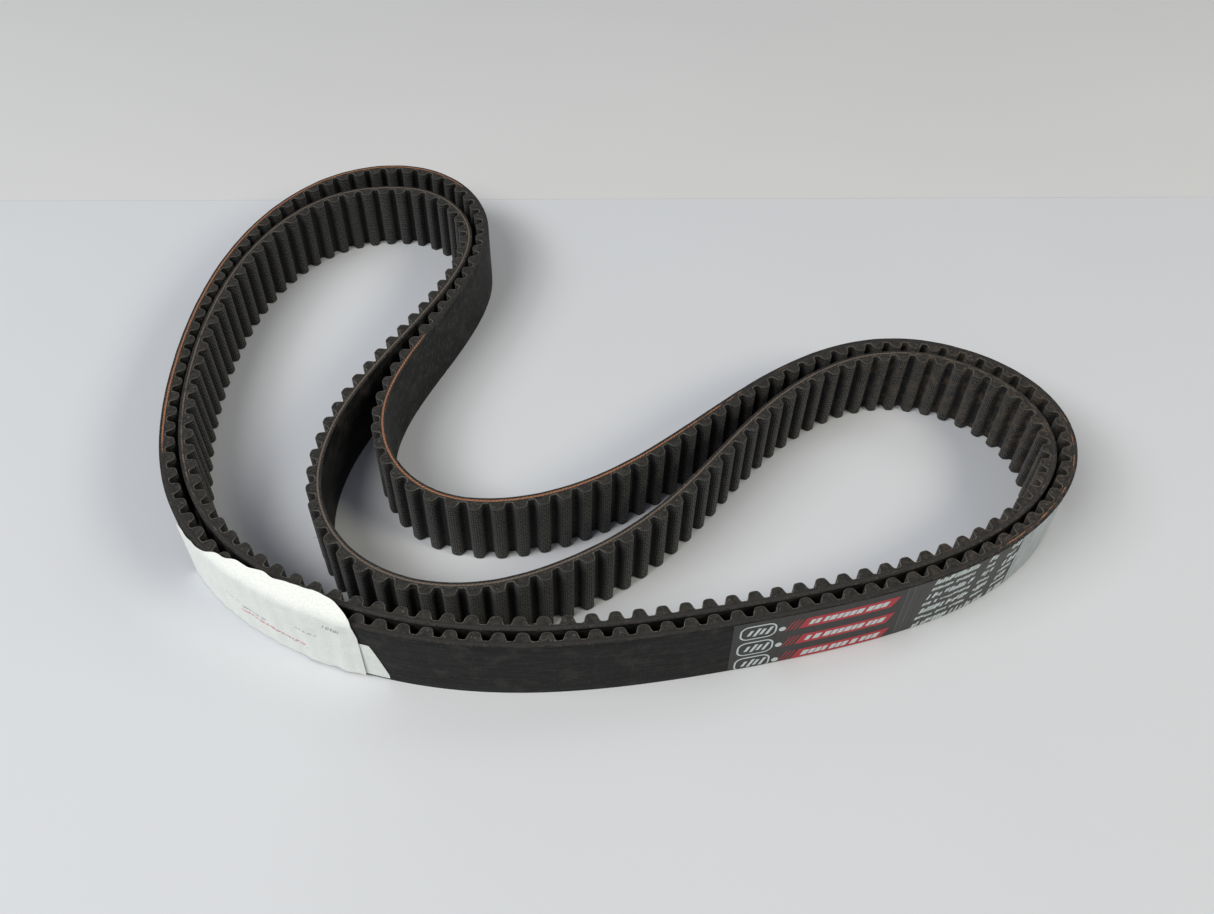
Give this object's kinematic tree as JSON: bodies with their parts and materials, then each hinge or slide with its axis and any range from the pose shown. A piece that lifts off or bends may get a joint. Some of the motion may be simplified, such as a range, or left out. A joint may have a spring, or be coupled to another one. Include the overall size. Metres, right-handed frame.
{
  "type": "timing belt",
  "caption": "Endless toothed timing belts nested one inside the other, standing on edge in a kidney-shaped loop, with a printed back and a plain paper label.",
  "frame": {"origin": "middle of the bounding box in X and Y, on the surface the belts stand on", "axes": "+Z along the belts' width, away from that surface; +X along the longest side, from the lobe with the label to the lobe with the print; +Y away from the printed front"},
  "size_m": [0.353, 0.262, 0.0355],
  "materials": {
    "back_rubber": "matt ground rubber",
    "tooth_rubber": "cut rubber, dusty",
    "facing_fabric": "tight knit nylon",
    "copper_cord": "treated glass-fibre cord, cut",
    "tan_cord": "treated glass-fibre cord, cut and dusty",
    "dark_film": "satin transfer film",
    "silver_film": "satin transfer film",
    "pale_print": "transfer ink",
    "red_print": "transfer ink",
    "label_paper": "coated paper"
  },
  "bodies": {
    "outer_belt": {"outer_backing": "back_rubber", "outer_tensile_cord": "copper_cord", "outer_tooth_rubber": "tooth_rubber", "outer_tooth_facing": "facing_fabric", "print_panel": "dark_film", "print_stripe": "silver_film", "print_badge_1": "pale_print", "print_bar_1": "red_print", "print_badge_2": "pale_print", "print_bar_2": "red_print", "print_badge_3": "pale_print", "print_bar_3": "red_print", "label_sheet": "label_paper", "label_under_sheet": "label_paper"},
    "inner_belt": {"inner_backing": "back_rubber", "inner_tensile_cord": "tan_cord", "inner_tooth_rubber": "tooth_rubber", "inner_tooth_facing": "facing_fabric"}
  },
  "joints": [
    {"name": "inner_belt_lift", "type": "slide", "parent": "outer_belt", "child": "inner_belt", "axis": [0, 0, 1], "range_m": [0, 0.04]}
  ]
}
